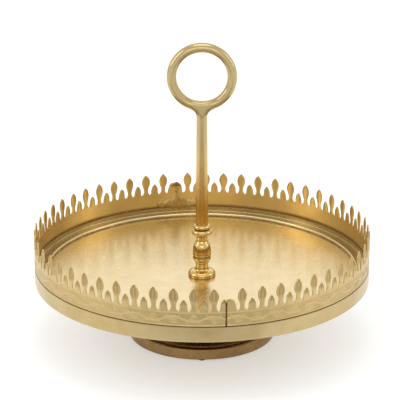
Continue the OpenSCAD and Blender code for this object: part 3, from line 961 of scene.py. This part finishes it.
def seam_metal():
    """Braze in and behind the back seam, and the solder in the front one."""
    draw = np.random.default_rng(5)
    blobs = []
    for x, z in zip(np.linspace(-18, 18, 19), draw.uniform(0.5, 2.5, 19)):
        tall = 3.4 + 3.4 * math.exp(-((x + 1) / 9) ** 2) + draw.uniform(-0.7, 0.7)
        blobs.append((*on_rim(BACK_SEAM, x, GALLERY_T + 0.1, z + tall * 0.45), 2.3, 1.3, tall))
    for z in np.linspace(1, SHORT_H - 3, 16):
        blobs.append((*on_rim(BACK_SEAM, 0, GALLERY_T / 2, z), 1.15, 0.95, 1.7))
    for x, z, size in ((-1.6, -2.4, 2.0), (0.6, -1.5, 2.4), (2.6, -2.2, 2.1), (1.4, -4, 2.4),
                       (-0.6, -5.5, 2.2), (0.4, -8, 2.0), (4.4, -3.4, 1.7)):
        blobs.append((*on_rim(BACK_SEAM, x, GALLERY_T / 2, SHORT_H + z), size, 1.3, size))
    braze = lumpy("back_braze", blobs, 0.4, 61, lambda z: 0.75 * (z > SHORT_H - 3))
    finish_mesh(braze, BRAZE, 80)
    stands_for(braze, "stand", "braze_fill", "back_seam_braze")
    drops = [(*on_rim(FRONT_SEAM, x, GALLERY_T / 2, SHORT_H + z), size, 0.9, size * 0.8)
             for x, z, size in ((0.1, -2.2, 1.2), (1.6, -0.9, 1.6), (3.3, -0.7, 1.5))]
    drops += [(*on_rim(FRONT_SEAM, 0, 1.15, z), 0.95, 0.35, 1.2)
              for z in np.linspace(0.8, SHORT_H - 4, 15)]
    solder = lumpy("front_solder", drops, 0.25, 71, lambda z: 1.0 * (z < SHORT_H - 2.5))
    finish_mesh(solder, BRAZE, 80)
    stands_for(solder, "stand", "braze_fill", "front_seam_solder")


def stud_tree():
    """Geometry Nodes for a threaded stud: a core and a ridge wound round it."""
    tree = bpy.data.node_groups.new("threaded_rod", "GeometryNodeTree")
    sockets = {}
    for name, kind in (("Geometry", "Geometry"), ("Core radius", "Float"), ("Length", "Float"),
                       ("Pitch", "Float"), ("Ridge", "Float"), ("Middle", "Vector"),
                       ("Foot", "Vector"), ("Metal", "Material")):
        made = tree.interface.new_socket(name, in_out="INPUT", socket_type="NodeSocket" + kind)
        sockets[name] = made.identifier
    tree.interface.new_socket("Geometry", in_out="OUTPUT", socket_type="NodeSocketGeometry")
    given, link = tree.nodes.new("NodeGroupInput"), tree.links.new
    core = tree.nodes.new("GeometryNodeMeshCylinder")
    core.inputs["Vertices"].default_value = 40
    link(given.outputs["Core radius"], core.inputs["Radius"])
    link(given.outputs["Length"], core.inputs["Depth"])
    set_core = tree.nodes.new("GeometryNodeTransform")
    link(core.outputs["Mesh"], set_core.inputs["Geometry"])
    link(given.outputs["Middle"], set_core.inputs["Translation"])
    turns = tree.nodes.new("ShaderNodeMath")
    turns.operation = "DIVIDE"
    link(given.outputs["Length"], turns.inputs[0])
    link(given.outputs["Pitch"], turns.inputs[1])
    wind = tree.nodes.new("GeometryNodeCurveSpiral")
    wind.inputs["Resolution"].default_value = 28
    link(turns.outputs[0], wind.inputs["Rotations"])
    link(given.outputs["Core radius"], wind.inputs["Start Radius"])
    link(given.outputs["Core radius"], wind.inputs["End Radius"])
    link(given.outputs["Length"], wind.inputs["Height"])
    flank = tree.nodes.new("GeometryNodeCurvePrimitiveCircle")
    flank.inputs["Resolution"].default_value = 4
    link(given.outputs["Ridge"], flank.inputs["Radius"])
    thread = tree.nodes.new("GeometryNodeCurveToMesh")
    link(wind.outputs["Curve"], thread.inputs["Curve"])
    link(flank.outputs["Curve"], thread.inputs["Profile Curve"])
    thread.inputs["Fill Caps"].default_value = True
    set_thread = tree.nodes.new("GeometryNodeTransform")
    link(thread.outputs["Mesh"], set_thread.inputs["Geometry"])
    link(given.outputs["Foot"], set_thread.inputs["Translation"])
    both = tree.nodes.new("GeometryNodeJoinGeometry")
    link(set_core.outputs[0], both.inputs[0])
    link(set_thread.outputs[0], both.inputs[0])
    real = tree.nodes.new("GeometryNodeRealizeInstances")
    link(both.outputs[0], real.inputs[0])
    painted = tree.nodes.new("GeometryNodeSetMaterial")
    link(real.outputs[0], painted.inputs["Geometry"])
    link(given.outputs["Metal"], painted.inputs["Material"])
    result = tree.nodes.new("NodeGroupOutput")
    link(painted.outputs[0], result.inputs[0])
    return tree, sockets


def threaded_stud():
    tree, sockets = stud_tree()
    length = STUD_HIGH.z - STUD_LOW.z
    end = 0.7
    stud = grown("stud_thread", tree, sockets, {
        "Core radius": (STUD_R - 0.45) * MM, "Length": (length - 2 * end) * MM, "Pitch": 1.0 * MM,
        "Ridge": 0.42 * MM, "Middle": (0.0, 0.0, (STUD_LOW.z + length / 2) * MM),
        "Foot": (0.0, 0.0, (STUD_LOW.z + end) * MM), "Metal": ZINC})
    bpy.data.node_groups.remove(tree)
    finish_mesh(stud, ZINC, 40)
    stands_for(stud, "stand", "zinc_steel", "threaded_stud")


def felt_pads():
    """Four felt discs, softly rounded and a little fuzzy at the rim."""
    pads = []
    pad_r, at_r = 3.5, FOOT_R - 4.0
    for k in range(4):
        outline = [(0.01, 0)] + line((1, 0), (pad_r - 0.5, 0), 4)
        outline += bow((pad_r - 0.4, PAD_T / 2), 0.4, PAD_T / 2, -80, 80, 8)
        outline += line((pad_r - 0.5, PAD_T), (0.01, PAD_T), 4)

        def worked(r, z, turn, k=k):
            fuzz = 0.07 * ripple(r * np.cos(turn) * 4, r * np.sin(turn) * 4 + z * 3, 3.1, 80 + k)
            return r + fuzz * (r > 2), z
        pad = lathe(f"pad_{k}", outline, 40, worked)
        turn = k * math.pi / 2
        place = (at_r * math.cos(turn) * MM, at_r * math.sin(turn) * MM, 0)
        pad.data.transform(Matrix.Translation(place))
        pads.append(pad)
    pads = joined("felt_pads_nap", *pads)
    finish_mesh(pads, FELT, 60)
    stands_for(pads, "stand", "felt", "felt_pads")


def plated_fasteners():
    """The CAD nut and washers keep their shapes and get their plating."""
    for node in ("clamp_nut", "spring_washer", "flat_washer"):
        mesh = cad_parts[node].data
        for i in range(len(mesh.materials)):
            mesh.materials[i] = ZINC


# ---------------------------------------------------------------- studio


def studio():
    """Pale floor with a painted soft grey shade in front and a painted glow, light from above and all
    round, the camera.
    """
    bpy.ops.mesh.primitive_plane_add(size=14)
    floor = bpy.context.object
    floor.name = "studio_floor"
    n = Nodes("pale_floor_painted_shade_and_glow")
    # Painted shade: a soft grey patch on the floor just in front of the stand, darkening what the
    # metal reflects there.
    shade_y, squeeze = -0.47, (2.2, 5.0, 0.0)
    paper = n.noise(n.place, 3.0, 3.0)
    shade_at = n.add("ShaderNodeMapping", Vector=n.place, Scale=squeeze,
                     Location=(0.0, -shade_y * squeeze[1], 0.0))
    off_shade = n.add("ShaderNodeVectorMath", {"operation": "LENGTH"},
                      Vector=shade_at.outputs["Vector"])
    outside_painted_shade = n.span(off_shade.outputs["Value"], 0.6, 1.35)
    pale = n.mix(n.span(paper, 0.3, 0.7), rgba(0.62, 0.62, 0.62), rgba(0.64, 0.64, 0.64))
    n.put(n.shader, "Base Color", n.mix(outside_painted_shade, rgba(0.42, 0.42, 0.42), pale))
    n.shader.inputs["Roughness"].default_value = 0.7
    # Painted glow: the floor gives off light of its own, weaker inside the painted shade, to lift its
    # shadows.
    n.shader.inputs["Emission Color"].default_value = (1.0, 1.0, 1.0, 1.0)
    n.put(n.shader, "Emission Strength", n.span(outside_painted_shade, 0.0, 1.0, 0.06, 0.42))
    floor.data.materials.append(n.material)

    world = bpy.data.worlds.new("studio_air")
    bpy.context.scene.world = world
    world.use_nodes = True
    air = world.node_tree.nodes["Background"]
    air.inputs["Color"].default_value = (1.0, 1.0, 1.0, 1.0)
    air.inputs["Strength"].default_value = 0.95

    def softbox(name, place, aim, width, height, power):
        light = bpy.data.lights.new(name, "AREA")
        light.shape = "RECTANGLE"
        light.size, light.size_y, light.energy = width, height, power
        lamp = bpy.data.objects.new(name, light)
        way = Vector(aim) - Vector(place)
        lamp.rotation_euler = way.to_track_quat("-Z", "Y").to_euler()
        lamp.location = place
        bpy.context.scene.collection.objects.link(lamp)

    centre = (0, 0, 0.08)
    softbox("top_box", (0.0, 0.1, 1.5), centre, 0.8, 0.8, 3)
    softbox("left_box", (-1.3, -0.2, 0.9), centre, 0.5, 1.0, 3.5)
    softbox("right_box", (1.4, 0.0, 0.8), centre, 0.5, 1.0, 2.2)
    softbox("front_box", (0.0, -3.2, 1.5), centre, 3.0, 1.3, 11)
    softbox("back_box", (0.0, 3.2, 1.6), centre, 3.4, 1.5, 6)

    camera_data = bpy.data.cameras.new("camera")
    camera_data.lens = 193.9
    camera_data.sensor_width = 36.0
    camera = bpy.data.objects.new("camera", camera_data)
    camera.location = (-0.0017, -1.8332, RIM_Z * MM + 0.7162)
    looks_down = 19.695
    camera.rotation_euler = (math.radians(90 - looks_down), 0, 0)
    bpy.context.scene.collection.objects.link(camera)
    bpy.context.scene.camera = camera
    bpy.context.scene.view_settings.view_transform = "Standard"


studio()
spun_tray()
gallery()
cast_handle()
turned_baluster()
trumpet_foot()
seam_metal()
threaded_stud()
felt_pads()
plated_fasteners()
